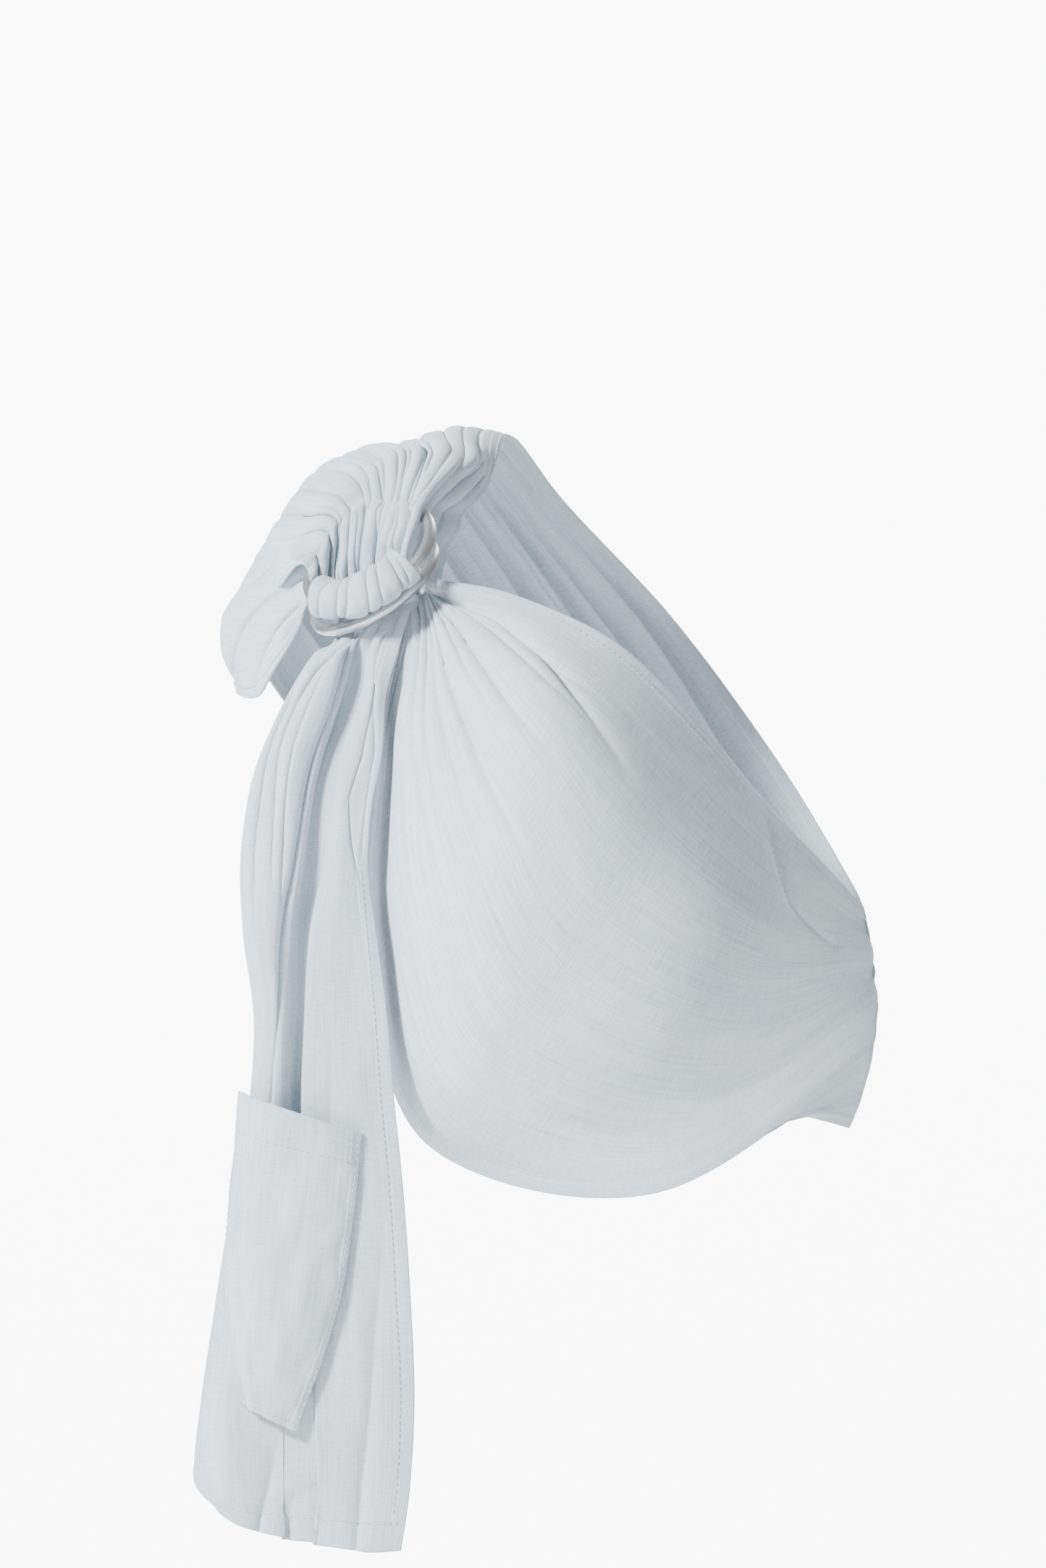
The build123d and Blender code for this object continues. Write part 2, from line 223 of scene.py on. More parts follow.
def stitch_line(name, on, body, pitch=4.6 * MM, dash=3.1 * MM, radius=0.42 * MM):
    """A row of stitches along points on cloth, each one a short rounded bar."""
    points, outward = on
    travel = np.concatenate([[0], np.cumsum(np.linalg.norm(np.diff(points, axis=0), axis=1))])
    starts = np.arange(pitch / 2, travel[-1] - dash, pitch)
    sides = 6
    profile = [(0.0, 0.35), (0.18, 0.9), (0.5, 1.0), (0.82, 0.9), (1.0, 0.35)]
    vertices, faces = [], []
    for start in starts:
        places = np.array([start + dash * share for share, _ in profile])
        line = np.stack([np.interp(places, travel, points[:, k]) for k in range(3)], -1)
        up = np.array([np.interp(start, travel, outward[:, k]) for k in range(3)])
        way = line[-1] - line[0]
        way /= np.linalg.norm(way)
        side = np.cross(way, up)
        side /= np.linalg.norm(side)
        up = np.cross(side, way)
        first = len(vertices)
        for centre, (_, size) in zip(line, profile):
            for k in range(sides):
                angle = 2 * math.pi * k / sides
                vertices.append(centre + radius * size * (math.cos(angle) * side + math.sin(angle) * up))
        for ring in range(len(profile) - 1):
            for k in range(sides):
                a, b = first + ring * sides + k, first + ring * sides + (k + 1) % sides
                faces.append([a, b, b + sides, a + sides])
        faces.append([first + k for k in range(4)])
        faces.append([first + 3, first + 4, first + 5, first])
        last = first + (len(profile) - 1) * sides
        faces.append([last + 3, last + 2, last + 1, last])
        faces.append([last, last + 5, last + 4, last + 3])
    piece = make_mesh(name, np.array(vertices), np.array(faces))
    piece.data.materials.append(THREAD)
    if body:
        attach(piece, body)
    return piece


# ---------------------------------------------------------------- materials
def node_material(name):
    """A new material, its nodes and links, and its shader."""
    made = bpy.data.materials.new(name)
    made.use_nodes = True
    nodes, links = made.node_tree.nodes, made.node_tree.links
    return made, nodes, links, nodes["Principled BSDF"]


def math_node(nodes, links, operation, first, second=0.0):
    """The outcome of an operation on two numbers or sockets."""
    node = nodes.new("ShaderNodeMath")
    node.operation = operation
    for socket, value in zip(node.inputs, (first, second)):
        if isinstance(value, (int, float)):
            socket.default_value = value
        else:
            links.new(value, socket)
    return node.outputs[0]


def stretched_noise(nodes, links, vector, scale, detail, roughness=0.6):
    """Noise over vector after scaling it differently each way."""
    mapping = nodes.new("ShaderNodeMapping")
    mapping.inputs["Scale"].default_value = scale
    links.new(vector, mapping.inputs["Vector"])
    noise = nodes.new("ShaderNodeTexNoise")
    noise.inputs["Scale"].default_value = 1.0
    noise.inputs["Detail"].default_value = detail
    noise.inputs["Roughness"].default_value = roughness
    links.new(mapping.outputs[0], noise.inputs["Vector"])
    return noise.outputs["Fac"]


def colour_by(nodes, links, shader, value, low, high, ends=(0.0, 1.0)):
    """The shader's colour, from low to high as a value goes from one of the ends to the other."""
    ramp = nodes.new("ShaderNodeValToRGB")
    for element, end, colour in zip(ramp.color_ramp.elements, ends, (low, high)):
        element.position = end
        element.color = (*colour, 1)
    links.new(value, ramp.inputs["Fac"])
    links.new(ramp.outputs["Color"], shader.inputs["Base Color"])


def rough_by(nodes, links, shader, value, low, high):
    """The shader's roughness, from low to high with a value from 0 to 1."""
    rough = nodes.new("ShaderNodeMapRange")
    rough.inputs["To Min"].default_value = low
    rough.inputs["To Max"].default_value = high
    links.new(value, rough.inputs["Value"])
    links.new(rough.outputs[0], shader.inputs["Roughness"])


def bump_by(nodes, links, shader, height, strength, distance):
    """Fine relief on the shader."""
    bump = nodes.new("ShaderNodeBump")
    bump.inputs["Strength"].default_value = strength
    bump.inputs["Distance"].default_value = distance
    links.new(height, bump.inputs["Height"])
    links.new(bump.outputs[0], shader.inputs["Normal"])


def woven_material(name, colour, deep):
    """Plain woven slub linen: threads, thicker slubs along the warp, and mottled dye."""
    made, nodes, links, shader = node_material(name)
    uv = nodes.new("ShaderNodeUVMap")
    uv.uv_map = "cloth"
    place = uv.outputs[0]
    slubs = stretched_noise(nodes, links, place, (420, 13, 1), 6.0, 0.72)
    picks = stretched_noise(nodes, links, place, (60, 1100, 1), 2.0, 0.6)
    mottle = stretched_noise(nodes, links, place, (26, 9, 1), 4.0, 0.55)
    threads = math_node(nodes, links, "ADD", slubs, math_node(nodes, links, "MULTIPLY", picks, 0.6))
    tone = math_node(nodes, links, "ADD", threads, math_node(nodes, links, "MULTIPLY", mottle, 0.7))
    spread = nodes.new("ShaderNodeMapRange")
    spread.inputs["From Min"].default_value = 0.8
    spread.inputs["From Max"].default_value = 1.5
    links.new(tone, spread.inputs["Value"])
    colour_by(nodes, links, shader, spread.outputs[0], deep, colour)
    split = nodes.new("ShaderNodeSeparateXYZ")
    links.new(place, split.inputs[0])
    warp, weft = (
        math_node(nodes, links, "SINE", math_node(nodes, links, "MULTIPLY", distance, waves))
        for distance, waves in zip(split.outputs, (7800.0, 7200.0))
    )
    weave = math_node(nodes, links, "MULTIPLY", warp, weft)
    relief = math_node(nodes, links, "ADD", threads, math_node(nodes, links, "MULTIPLY", weave, 0.14))
    bump_by(nodes, links, shader, relief, 0.8, 0.5 * MM)
    rough_by(nodes, links, shader, slubs, 0.8, 0.98)
    shader.inputs["Specular IOR Level"].default_value = 0.25
    shader.inputs["Sheen Weight"].default_value = 0.22
    shader.inputs["Sheen Roughness"].default_value = 0.45
    return made


def thread_material():
    """Sewing thread: matt, with the twist of its plies."""
    made, nodes, links, shader = node_material("sewing_thread")
    geometry = nodes.new("ShaderNodeNewGeometry")
    fibres = stretched_noise(nodes, links, geometry.outputs["Position"], (1500, 1500, 1500), 2.0)
    colour_by(nodes, links, shader, fibres, (0.40, 0.46, 0.50), (0.60, 0.66, 0.70))
    bump_by(nodes, links, shader, fibres, 0.4, 0.1 * MM)
    shader.inputs["Roughness"].default_value = 0.75
    return made


def ring_material():
    """Tumbled and anodised aluminium: satin, faintly mottled, with fine handling marks."""
    made, nodes, links, shader = node_material("satin_aluminium")
    geometry = nodes.new("ShaderNodeNewGeometry")
    place = geometry.outputs["Position"]
    fine = stretched_noise(nodes, links, place, (1800, 1800, 1800), 3.0)
    broad = stretched_noise(nodes, links, place, (90, 90, 90), 4.0)
    marks = stretched_noise(nodes, links, place, (240, 1400, 700), 2.0)
    colour_by(nodes, links, shader, broad, (0.50, 0.505, 0.52), (0.64, 0.645, 0.655), (0.3, 0.7))
    rough_by(nodes, links, shader, marks, 0.28, 0.46)
    bump_by(nodes, links, shader, fine, 0.25, 0.05 * MM)
    shader.inputs["Metallic"].default_value = 0.95
    return made


CLOTH = woven_material("woven_cloth", (0.70, 0.77, 0.82), (0.36, 0.45, 0.51))
THREAD = thread_material()
RINGS = ring_material()


# ---------------------------------------------------------------- the rings' frame
RING_CENTRE = np.array([-39.9, -122, -90.1])
RING_NEAR = np.array([0.2340, -0.9100, -0.3424])
RING_AXIS = np.array([-0.5134, -0.4147, 0.7513])
RING_BAR = np.cross(RING_AXIS, RING_NEAR)
RING_RADIUS = 47.9
UPPER_TILT = math.radians(10)


def by_ring(bar, near, axis):
    """A point in the lower ring's frame, in mm: along the near bar, towards it, and up."""
    return RING_CENTRE + RING_BAR * bar + RING_NEAR * near + RING_AXIS * axis


for ring_node in ("upper_ring", "lower_ring"):
    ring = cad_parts[ring_node]
    ring.data.materials.clear()
    ring.data.materials.append(RINGS)


# ---------------------------------------------------------------- the loop: shoulder, back, hip
TORSO_MIDDLE, TORSO_HALF_WIDTH, TORSO_HALF_DEPTH = 127, 182, 119  # of its round back, in mm


def torso(x, z):
    """A point on the wearer's back."""
    share = (x - TORSO_MIDDLE) / TORSO_HALF_WIDTH
    return (x, TORSO_HALF_DEPTH * math.sqrt(max(0, 1 - share * share)), z)


# The cloth's line over the hip, from its upper rail to its lower one.
HIP = [
    (307, -20, -316), (312, -21, -348), (315, -22, -380),
    (313, -22, -412), (307, -21, -444), (296, -20, -474),
]
# Lines across the loop from its neck side to its arm side, starting inside the rings.
LOOP = [
    [
        (4, -88, -84), (-14, -128, -86), (-28, -124, -90),
        (-42, -120, -96), (-58, -118, -102), (-74, -120, -108),
    ],
    [(8, -88, -68), (-15, -138, -68), (-30, -126, -66), (-46, -118, -72), (-64, -118, -84), (-82, -126, -98)],
    [(14, -86, -54), (-9, -143, -47), (-24, -130, -40), (-42, -116, -40), (-64, -112, -52), (-86, -122, -80)],
    [(22, -84, -38), (-2, -132, -30), (-20, -124, -26), (-40, -110, -26), (-66, -106, -38), (-94, -112, -76)],
    [(40, -60, -14), (22, -88, 2), (-10, -94, 8), (-46, -92, -2), (-84, -88, -32), (-114, -72, -92)],
    [(54, -8, 22), (20, -8, 29), (-26, -8, 15), (-72, -8, 2), (-110, -8, -34), (-138, -8, -96)],
    [(92, 58, -22), (58, 74, -10), (10, 80, -18), (-44, 76, -48), (-92, 68, -92), (-124, 52, -150)],
    [torso(178, -110), torso(140, -118), torso(92, -138), torso(44, -172), torso(4, -214), torso(-32, -262)],
    [
        torso(252, -214), torso(226, -248), torso(196, -290),
        torso(166, -332), torso(138, -370), torso(112, -404),
    ],
    [
        torso(299, -296), torso(295, -330), torso(287, -362),
        torso(276, -396), torso(262, -430), torso(244, -462),
    ],
    HIP,
]


def fan(count, low, high, starts, ends, depth, half_width, wander=0.02, seed=1):
    """Creases that fan out across the cloth, unevenly spaced, each with its own reach."""
    pick = np.random.default_rng(seed)
    spread = low + (high - low) * (np.arange(count) + 0.5 + pick.uniform(-0.3, 0.3, count)) / count
    made = []
    for middle in spread:
        start = pick.uniform(*starts)
        end = pick.uniform(*ends)
        at = np.linspace(start, end, 6)
        drift = np.cumsum(pick.uniform(-wander, wander, 6)) * 0.5
        deep = pick.uniform(*depth)
        shape = np.array([0.7, 1.0, 0.9, 0.62, 0.3, 0.0]) * pick.uniform(0.85, 1.15, 6)
        path = [(a, float(np.clip(middle + d, 0.01, 0.99))) for a, d in zip(at, drift)]
        made.append((path, list(deep * shape), pick.uniform(*half_width)))
    return made


def build_loop():
    """The cloth from the rings over the shoulder and round the back to the hip."""
    rows = np.concatenate([np.linspace(0, 0.5, 190), np.linspace(0.5, 1, 91)[1:]])
    columns = np.linspace(0, 1, 300)
    grid = surface(LOOP, rows, columns)
    creases = fan(14, 0.10, 0.97, (-0.08, -0.02), (0.46, 0.66), (9, 15), (2.2, 3.6), 0.016, 3)
    creases += fan(13, 0.12, 0.95, (-0.06, 0.04), (0.26, 0.46), (4, 8), (1.4, 2.2), 0.020, 11)
    creases += fan(6, 0.12, 0.6, (0.22, 0.32), (0.55, 0.75), (5, 9), (2.4, 4.0), 0.016, 13)
    creases += fan(9, 0.06, 0.94, (0.40, 0.6), (0.85, 1.1), (4, 8), (7, 12), 0.03, 5)
    creases.append(([(0, 0.15), (0.15, 0.14), (0.3, 0.11), (0.42, 0.08)], [16, 18, 14, 3], 3.2))
    creases.append(([(0, 0.09), (0.15, 0.085), (0.3, 0.06), (0.4, 0.04)], [6, 8, 7, 2], 2.2))
    folded = uneven(pleated(grid, rows, columns, creases), grid, (16, 12), 21, 1.8)
    uvs = cloth_uvs(rows, columns, 0, 0.80)
    return cloth("shoulder_and_back_cloth", folded, uvs, hems=(0, 0, RAIL_HEM, RAIL_HEM)), folded


loop_piece, loop_grid = build_loop()
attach(loop_piece, "sling")
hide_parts("shoulder_gather", "shoulder_cap", "back_band", "hip_wrap", "ring_fold",
            "ring_fold_stitching")

# ---------------------------------------------------------------- the pouch
# Its upper rail, the fold it turns under at, its lower rail and how far it stands out between them.
TOP_RAIL = [(58, -158, -98), (128, -168, -134), (190, -150, -192), (250, -104, -262)]
TURN = [(-40, -146, -225), (-42, -156, -355), (2, -172, -476), (156, -140, -508)]
BOTTOM_RAIL = [(-6, -124, -205), (16, -126, -300), (74, -126, -392), (186, -112, -436)]
BULGE = [62, 112, 128, 118]


def pouch_station(rail, turn, bottom, bulge):
    """Points round one section of the pouch: down its front, under it and up behind."""
    rail, turn, bottom = (np.array(p, float) for p in (rail, turn, bottom))
    forward = np.array([0, -bulge, 0])
    slope = (turn - rail) / np.linalg.norm(turn - rail)
    under = (turn + bottom) / 2 + slope * (0.16 * bulge)
    upper_front = rail + (turn - rail) * 0.27 + forward * 0.86
    lower_front = rail + (turn - rail) * 0.72 + forward * 0.90
    return [rail, upper_front, lower_front, turn, under, bottom]


# The pouch's cloth is bunched inside the rings, then passes under the lower ring's near bar.
POUCH = [
    [
        (-8, -130, -78), (-10, -136, -82), (-14, -138, -88),
        (-20, -136, -94), (-20, -128, -96), (-12, -122, -92),
    ],
    [
        (0, -149, -86), (-5, -155, -91), (-12, -158, -101),
        (-21, -158, -108), (-22, -144, -110), (-8, -134, -100),
    ],
] + [pouch_station(*row) for row in zip(TOP_RAIL, TURN, BOTTOM_RAIL, BULGE)] + [HIP]


def build_pouch():
    """The cloth from the rings round the baby's space to the hip."""
    rows = np.concatenate([np.linspace(0, 0.45, 150), np.linspace(0.45, 1, 101)[1:]])
    columns = np.linspace(0, 1, 280)
    grid = surface(POUCH, rows, columns)
    creases = fan(9, 0.06, 0.60, (-0.04, 0.04), (0.42, 0.66), (10, 16), (3.4, 7.0), 0.02, 31)
    creases += fan(11, 0.05, 0.95, (-0.04, 0.04), (0.28, 0.44), (4, 8), (1.4, 2.6), 0.02, 32)
    creases += fan(5, 0.62, 0.98, (0.0, 0.1), (0.4, 0.8), (4, 8), (5, 9), 0.03, 33)
    creases.append(([(0.12, 0.04), (0.3, 0.07), (0.48, 0.12), (0.62, 0.15)], [6, 11, 7, 0], 9.0))
    creases.append(([(0.78, 0.0), (0.86, 0.12), (0.95, 0.2)], [1, 4, 2], 7.0))
    folded = uneven(pleated(grid, rows, columns, creases, -1), grid, (9, 8), 41, 1.5)
    uvs = cloth_uvs(rows, columns, 0.84, 0.46)
    return cloth("pouch_cloth", folded, uvs, -1, hems=(0, 0, RAIL_HEM, RAIL_HEM)), folded


pouch_piece, pouch_grid = build_pouch()
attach(pouch_piece, "sling")
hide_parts("pouch", "pouch_underside", "pouch_top_hem", "pouch_bottom_hem")

# ---------------------------------------------------------------- the cloth through the rings
TILT_COS, TILT_SIN = math.cos(UPPER_TILT), math.sin(UPPER_TILT)
UPPER_NEAR = RING_NEAR * TILT_COS - RING_AXIS * TILT_SIN
UPPER_AXIS = RING_AXIS * TILT_COS + RING_NEAR * TILT_SIN
UPPER_CENTRE = by_ring(8, -41.9, 30) + UPPER_NEAR * RING_RADIUS
# Outwards from the upper ring's axis and up: in from below, over its near bar, back between the
# rings and down behind the lower ring's near bar.
THREADING = [
    (24, -46), (27, -30), (29, -14), (31, 0), (34, 12), (40, 18), (47, 18.5), (54, 14), (59, 7), (60, 0),
    (57, -5), (51, -7.4), (44, -8.6), (39, -13), (37.5, -21), (38, -34),
]
THREADING_TURNS = (-68, -52, -36, -20, -5, 9, 21)  # degrees round the ring, across the cloth


def upper_ring_point(degrees, out, up):
    """A point near the upper ring, turned round it from its near bar."""
    angle = math.radians(degrees)
    return (
        UPPER_CENTRE + (UPPER_NEAR * math.cos(angle) + RING_BAR * math.sin(angle)) * out + UPPER_AXIS * up
    )


def build_threading():
    """The pleated cloth that goes up through both rings, round the upper one and back down."""
    stations = []
    for out, up in THREADING:
        gathered = 1.0 if up > -12 else 0.9  # it narrows below the rings
        stations.append([upper_ring_point(turn * gathered, out, up) for turn in THREADING_TURNS])
    rows, columns = np.linspace(0, 1, 240), np.linspace(0, 1, 190)
    grid = surface(stations, rows, columns)
    pick = np.random.default_rng(17)
    creases = []
    for middle in (0.10, 0.27, 0.36, 0.55, 0.66, 0.84, 0.93):
        slant = pick.uniform(0.16, 0.26)
        path = [
            (a, middle - slant * (a - 0.5) * 2 + pick.uniform(-0.012, 0.012)) for a in np.linspace(0, 1, 9)
        ]
        depths = np.array([3, 3.5, 4, 4.5, 5, 4.5, 3.5, 3, 3]) * pick.uniform(0.7, 1.5)
        creases.append((path, list(depths), pick.uniform(1.6, 3.4)))
    folded = uneven(pleated(grid, rows, columns, creases), grid, (7, 5), 18, 1.3)
    return cloth("threaded_cloth", folded, cloth_uvs(rows, columns, 1.30, 0.19, 0.5))


threaded = build_threading()
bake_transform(threaded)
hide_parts("threaded_bundle", "pouch_neck", "tail_neck")

# ---------------------------------------------------------------- the flap over the arm
FLAP = [
    [(-82, -104, -78), (-87, -108, -100), (-91, -106, -116)],
    [(-98, -76, -58), (-110, -92, -108), (-108, -92, -144)],
    [(-116, -46, -62), (-138, -56, -110), (-124, -56, -166)],
    [(-127, -8, -66), (-155, -8, -118), (-140, -8, -162)],
    [(-124, 30, -86), (-146, 32, -124), (-136, 32, -150)],
    [(-118, 50, -122), (-128, 56, -138), (-124, 56, -152)],
]


def build_flap():
    """The lower rail's loose edge, which hangs over the upper arm."""
    rows, columns = np.linspace(0, 1, 150), np.linspace(0, 1, 90)
    grid = surface(FLAP, rows, columns)
    creases = [
        ([(0.0, 0.15), (0.25, 0.35), (0.5, 0.75), (0.7, 1.0)], [4, 6, 4, 0], 6.5),
        ([(0.05, 0.5), (0.25, 0.72), (0.4, 0.95)], [3, 5, 1], 5.0),
        ([(0.3, 0.05), (0.5, 0.32), (0.8, 0.7)], [2, 5, 2], 9.0),
        ([(0.55, 0.1), (0.75, 0.4), (0.95, 0.6)], [2, 4, 2], 8.0),
    ]
    folded = uneven(pleated(grid, rows, columns, creases), grid, (9, 5), 61, 1.6)
    uvs = cloth_uvs(rows, columns, 0.12, 0.26, 0.1)
    return cloth("shoulder_flap_cloth", folded, uvs, hems=(0, 0, 0, RAIL_HEM)), folded


flap_piece, flap_grid = build_flap()
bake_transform(flap_piece)
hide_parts("shoulder_flap")

# ---------------------------------------------------------------- the tail
# Height, the front panel's right edge, the lip of its deep fold, the fold at the arm's side,
# the front's y, the tail's depth and how deep the folds are.
TAIL = [
    (-140, -24, -42, -81, -165, 14, 0.9),
    (-168, -31, -46, -99, -176, 17, 1.0),
    (-206, -33, -57, -115, -190, 20, 1.0),
    (-243, -40, -64, -124, -201, 22, 1.0),
    (-285, -42, -70, -129, -210, 23, 1.0),
    (-330, -36, -78, -126, -215, 23, 1.0),
    (-383, -29, -83, -119, -216, 22, 0.95),
    (-440, -24, -84, -122, -218, 22, 0.8),
    (-500, -18, -80, -131, -220, 24, 0.35),
    (-570, -13, -76, -143, -222, 27, 0.12),
    (-640, -10, -74, -154, -225, 31, 0.08),
    (-700, -13, -72, -158, -227, 34, 0.1),
    (-744, -19, -76, -146, -229, 36, 0.15),
]
# Where the tail leaves the rings: behind the lower ring's near bar, then just under it. The ends
# are the front's right and left edges.
TAIL_STARTS = [((-12, -144, -90), (-64, -130, -112)), ((-14, -157, -107), (-68, -146, -130))]


def tail_station(z, right, lip, left, front, depth, fold):
    """Points round the folded tail: the front panel, the deep fold, the ridges, the fold at the
    arm's side and the rear layer."""
    end = float(smoothstep(np.array(-z), 690, 744))
    rise = 30 * end
    inner = lip - (lip - left) * 0.30
    ridge = lip - (lip - left) * 0.58
    return [
        (right, front + 1, z), (right * 0.62 + lip * 0.38, front - 2, z - 1 * end),
        (right * 0.25 + lip * 0.75, front - 1 - 2 * fold, z + 2 * end),
        (lip - 2, front + 1 * fold, z + 4 * end),
        (lip + 5 * fold, front + 12 * fold, z + 5 * end),
        (inner + 5 * fold, front + 15 * fold, z + 7 * end),
        (inner - 2, front + 4 * fold, z + 9 * end), (ridge, front - 3 * fold, z + 13 * end),
        (ridge * 0.45 + left * 0.55, front + 2, z + 19 * end), (left, front + depth * 0.5, z + rise),
        (left + depth * 0.2 - 14 * end, front + depth, z + rise + 26 * end),
        (left + (right - left) * 0.28, front + depth + 4, z + rise + 14 * end),
        (left + (right - left) * (0.62 + 0.33 * fold), front + depth + 2, z + rise * 0.6),
    ]


def tail_start(right, left):
    """The same points where the cloth is bunched at the rings."""
    right, left = np.array(right, float), np.array(left, float)
    line = [right + (left - right) * k / 9 for k in range(10)]
    line = [p + (0, 6 * abs(k - 4.5) / 4.5 - 4, 0) for k, p in enumerate(line)]
    rear = [left + (6, 12, 0), left * 0.6 + right * 0.4 + (0, 16, 0), left * 0.3 + right * 0.7 + (0, 14, 0)]
    return line + rear


def tail_share(z):
    """How far down the tail's stations a height lies."""
    first = len(TAIL_STARTS) / (len(TAIL_STARTS) + len(TAIL) - 1)
    heights = [100] + [-row[0] for row in TAIL]
    return float(np.interp(-z, heights, [0] + list(np.linspace(first, 1, len(TAIL)))))


def tail_across(x, z):
    """How far across its front a point of the tail at that place lies, from its right edge."""
    heights = [-row[0] for row in TAIL]
    right, lip, left = (np.interp(-z, heights, [row[k] for row in TAIL]) for k in (1, 2, 3))
    if x >= lip:
        return float((right - x) / (right - lip) * 3 / 12)
    return float(6 / 12 + (lip - (lip - left) * 0.3 - x) / ((lip - left) * 0.7) * 3 / 12)


def tail_crease(path, depths, half_width):
    """A crease along points (x, z) on the tail's front."""
    return [(tail_share(z), tail_across(x, z)) for x, z in path], depths, half_width


TAIL_CREASES = [
    tail_crease([(-65, -127), (-79, -151), (-91, -173), (-101, -203), (-104, -254), (-103, -300)],
                [5, 7, 7, 6, 5, 0], 4.0),
    tail_crease([(-56, -120), (-66, -180), (-81, -232), (-86, -261), (-92, -300), (-97, -350), (-100, -400)],
                [5, 6, 6, 6, 5, 4, 0], 3.6),
    tail_crease([(-76, -116), (-88, -150), (-103, -185), (-113, -230), (-117, -290), (-114, -350)],
                [4, 5, 5, 4, 3, 0], 3.4),
    tail_crease([(-37, -130), (-40, -181), (-45, -210), (-53, -237), (-51, -270), (-44, -300)],
                [5, 6, 5, 4, 3, 0], 3.4),
    tail_crease([(-36, -160), (-37, -206), (-43, -250), (-46, -291)], [3, 4, 3, 0], 2.6),
    tail_crease([(-70, -112), (-84, -142), (-96, -170), (-106, -215)], [4, 4, 3, 0], 2.2),
    tail_crease([(-48, -112), (-50, -150), (-58, -190), (-70, -230), (-76, -280)], [4, 5, 5, 4, 0], 2.8),
    tail_crease([(-60, -112), (-72, -150), (-90, -200), (-96, -270), (-99, -330)], [3, 4, 4, 3, 0], 2.4),
    tail_crease([(-92, -300), (-99, -360), (-104, -420), (-112, -520)], [2, 4, 4, 0], 6.0),
    tail_crease([(-60, -380), (-62, -440), (-60, -520), (-48, -620)], [0, 2.5, 3, 0], 11.0),
    tail_crease([(-28, -520), (-34, -600), (-42, -700), (-46, -744)], [0, 3, 4, 4], 9.0),
    tail_crease([(-100, -660), (-106, -700), (-112, -744)], [0, 3, 5], 8.0),
    tail_crease([(-70, -675), (-74, -710), (-80, -744)], [0, 2, 3], 9.0),
]


def build_tail():
    """The loose end of the cloth, from the rings to its hem."""
    finer = tail_share(-300)  # more rows above here, where the folds are tight
    rows = np.concatenate([np.linspace(0, finer, 130), np.linspace(finer, 1, 191)[1:]])
    columns = np.linspace(0, 1, 240)
    stations = [tail_start(*ends) for ends in TAIL_STARTS] + [tail_station(*row) for row in TAIL]
    grid = surface(stations, rows, columns)
    folded = pleated(grid, rows, columns, TAIL_CREASES, -1)
    ripple = 0.9 * np.sin(rows[:, None] * 31 + columns[None, :] * 9) * np.sin(columns[None, :] * 23 + 2)
    folded += normals(grid) * (ripple * MM)[..., None]
    uvs = cloth_uvs(rows, columns, 1.49, 0.66, 0.5)
    return cloth("tail_cloth", folded, uvs, -1, hems=(0, TAIL_END_HEM, RAIL_HEM, RAIL_HEM)), folded


tail_piece, tail_grid = build_tail()
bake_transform(tail_piece)
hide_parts("tail_upper", "tail_lower", "tail_end_hem", "tail_end_stitching")

# ---------------------------------------------------------------- the pocket
POCKET_ARM_SIDE = [(-128, -436), (-132, -480), (-137, -530), (-139, -575), (-136, -615), (-126, -646)]
POCKET_FREE_SIDE = [(-46, -463), (-49, -497), (-53, -532), (-60, -574), (-73, -616), (-90, -664)]
POCKET_BULGE = [11, 8, 10, 12, 9, 3]
POCKET_SECTION = [(0, 0), (0.12, 0.55), (0.32, 0.95), (0.55, 1.0), (0.8, 0.85), (0.95, 0.3), (1, -0.7)]
TAIL_FRONT_Y, TAIL_FRONT_Z, TAIL_LEAN = -217, -392, math.tan(math.radians(2))
POCKET_STANDS_OFF = 3.2


def build_pocket():
    """The patch pocket: its gaping mouth, its bulge and the seam all round."""
    stations = []
    for arm, free, bulge in zip(POCKET_ARM_SIDE, POCKET_FREE_SIDE, POCKET_BULGE):
        line = []
        for share, push in POCKET_SECTION:
            x = free[0] + (arm[0] - free[0]) * share
            z = free[1] + (arm[1] - free[1]) * share
            front = TAIL_FRONT_Y + (z - TAIL_FRONT_Z) * TAIL_LEAN - POCKET_STANDS_OFF
            line.append((x, front - bulge * push + 5 * share**6, z))
        stations.append(line)
    rows, columns = np.linspace(0, 1, 170), np.linspace(0, 1, 110)
    grid = surface(stations, rows, columns)
    creases = [
        ([(0.25, 0.35), (0.45, 0.42), (0.8, 0.46)], [0, 1.6, 0], 12.0),
        ([(0.3, 0.75), (0.6, 0.72), (0.9, 0.7)], [0, 1.8, 0.6], 9.0),
        ([(0.7, 0.9), (0.85, 0.84), (1.0, 0.8)], [1, 2, 1], 5.0),
    ]
    folded = uneven(pleated(grid, rows, columns, creases, -1), grid, (9, 7), 71, 0.9)
    uvs = cloth_uvs(rows, columns, 0.2, 0.21, 0.1)
    hems = (POCKET_MOUTH_HEM, POCKET_HEM, POCKET_HEM, POCKET_HEM)
    return cloth("pocket_cloth", folded, uvs, -1, hems=hems), folded


pocket_piece, pocket_grid = build_pocket()
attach(pocket_piece, "tail_lower")
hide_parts("pocket", "pocket_mouth_hem", "pocket_mouth_stitching", "pocket_stitching")

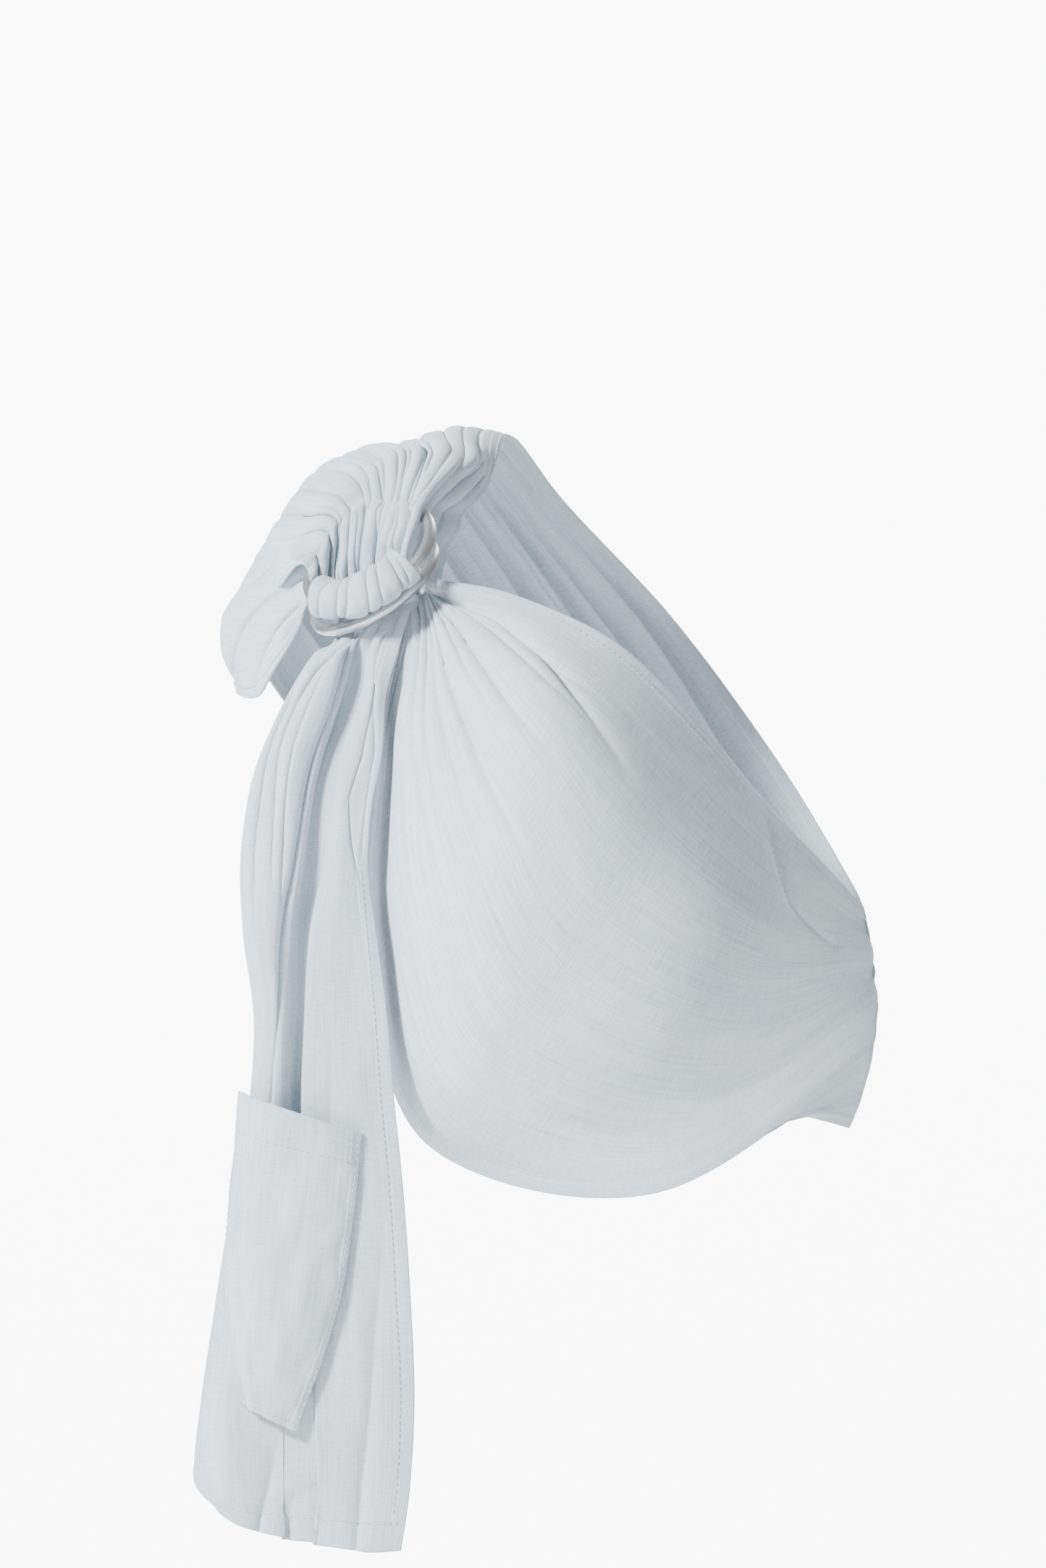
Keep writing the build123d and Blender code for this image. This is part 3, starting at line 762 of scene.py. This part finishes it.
# ---------------------------------------------------------------- seams
POCKET_SEAMS = {
    "pocket_mouth_thread": ((0.125, 0.125), (0.02, 0.99)),
    "pocket_corner_thread_a": ((0.004, 0.125), (0.035, 0.035)),
    "pocket_corner_thread_b": ((0.004, 0.125), (0.11, 0.11)),
    "pocket_side_thread": ((0.13, 0.975), (0.045, 0.045)),
    "pocket_arm_side_thread": ((0.13, 0.975), (0.965, 0.965)),
    "pocket_base_thread": ((0.98, 0.98), (0.05, 0.96)),
}
pocket_threads = [
    stitch_line(name, on_cloth(pocket_grid, down, across, -1), "tail_lower")
    for name, (down, across) in POCKET_SEAMS.items()
]
tail_threads = [
    stitch_line("tail_end_thread", on_cloth(tail_grid, (0.965, 0.965), (0.01, 0.99), -1), "tail_lower"),
    stitch_line("tail_side_thread", on_cloth(tail_grid, (0.36, 0.955), (0.035, 0.035), -1), None),
]
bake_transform(tail_threads[1])
rail_threads = [
    stitch_line("pouch_rail_thread", on_cloth(pouch_grid, (0.12, 0.99), (0.018, 0.018), -1), "sling"),
    stitch_line("shoulder_rail_thread", on_cloth(loop_grid, (0.18, 0.98), (0.014, 0.014)), "sling"),
    stitch_line("back_rail_thread", on_cloth(loop_grid, (0.45, 0.98), (0.986, 0.986)), "sling"),
]
flap_thread = stitch_line("flap_thread", on_cloth(flap_grid, (0.02, 0.98), (0.93, 0.93)), "shoulder_flap")

# ---------------------------------------------------------------- studio
CAMERA_DISTANCE = 3.6
VIEW_HEIGHT = 1.12684  # of the view at the shoulder's depth
SENSOR_HEIGHT = 36
camera_data = bpy.data.cameras.new("camera")
camera = bpy.data.objects.new("camera", camera_data)
bpy.context.scene.collection.objects.link(camera)
camera.location = (0.063, -CAMERA_DISTANCE, -0.228)
camera.rotation_euler = (math.pi / 2, 0, 0)
camera_data.sensor_fit = "VERTICAL"
camera_data.sensor_height = SENSOR_HEIGHT
camera_data.lens = SENSOR_HEIGHT * CAMERA_DISTANCE / VIEW_HEIGHT
bpy.context.scene.camera = camera


LIT_POINT = (0.05, 0, -0.3)


def area_light(name, place, size, power, colour=(1, 1, 1)):
    """A round soft light that faces the sling."""
    data = bpy.data.lights.new(name, "AREA")
    data.shape = "DISK"
    data.size = size
    data.energy = power
    data.color = colour
    lamp = bpy.data.objects.new(name, data)
    bpy.context.scene.collection.objects.link(lamp)
    lamp.location = place
    way = np.array(LIT_POINT, float) - np.array(place, float)
    lamp.rotation_euler = (
        math.atan2(math.hypot(way[0], way[1]), -way[2]), 0, math.atan2(way[1], way[0]) - math.pi / 2
    )


area_light("key", (-2.5, -2.1, 1.9), 0.7, 520)
area_light("fill", (2.2, -2.6, 0.2), 1.8, 16, (0.84, 0.92, 1.0))
area_light("rim", (0.9, 1.9, 1.6), 1.2, 60)
world = bpy.data.worlds.new("studio")
bpy.context.scene.world = world
world.use_nodes = True
sky = world.node_tree.nodes["Background"]
sky.inputs["Color"].default_value = (0.93, 0.97, 1.0, 1)
sky.inputs["Strength"].default_value = 0.38


FLOOR_Z, BACKDROP_Y = -1.42, 6.0
STAGE_COLOUR = (0.9, 0.9, 0.9, 1)


def stage_sheet(name, corners, glow):
    """A plain pale surface of the studio, which also gives off some light."""
    made = make_mesh(name, np.array(corners, float), np.array([[0, 1, 2, 3]]))
    material, _, _, shader = node_material(name + "_paint")
    shader.inputs["Base Color"].default_value = STAGE_COLOUR
    shader.inputs["Roughness"].default_value = 0.9
    shader.inputs["Emission Color"].default_value = (1, 1, 1, 1)
    shader.inputs["Emission Strength"].default_value = glow
    made.data.materials.append(material)


stage_sheet("floor", [(-4, -4, FLOOR_Z), (4, -4, FLOOR_Z), (4, 3.3, FLOOR_Z), (-4, 3.3, FLOOR_Z)], 1.0)
stage_sheet(
    "backdrop", [(-3, BACKDROP_Y, -3), (3, BACKDROP_Y, -3), (3, BACKDROP_Y, 3), (-3, BACKDROP_Y, 3)], 9.0
)
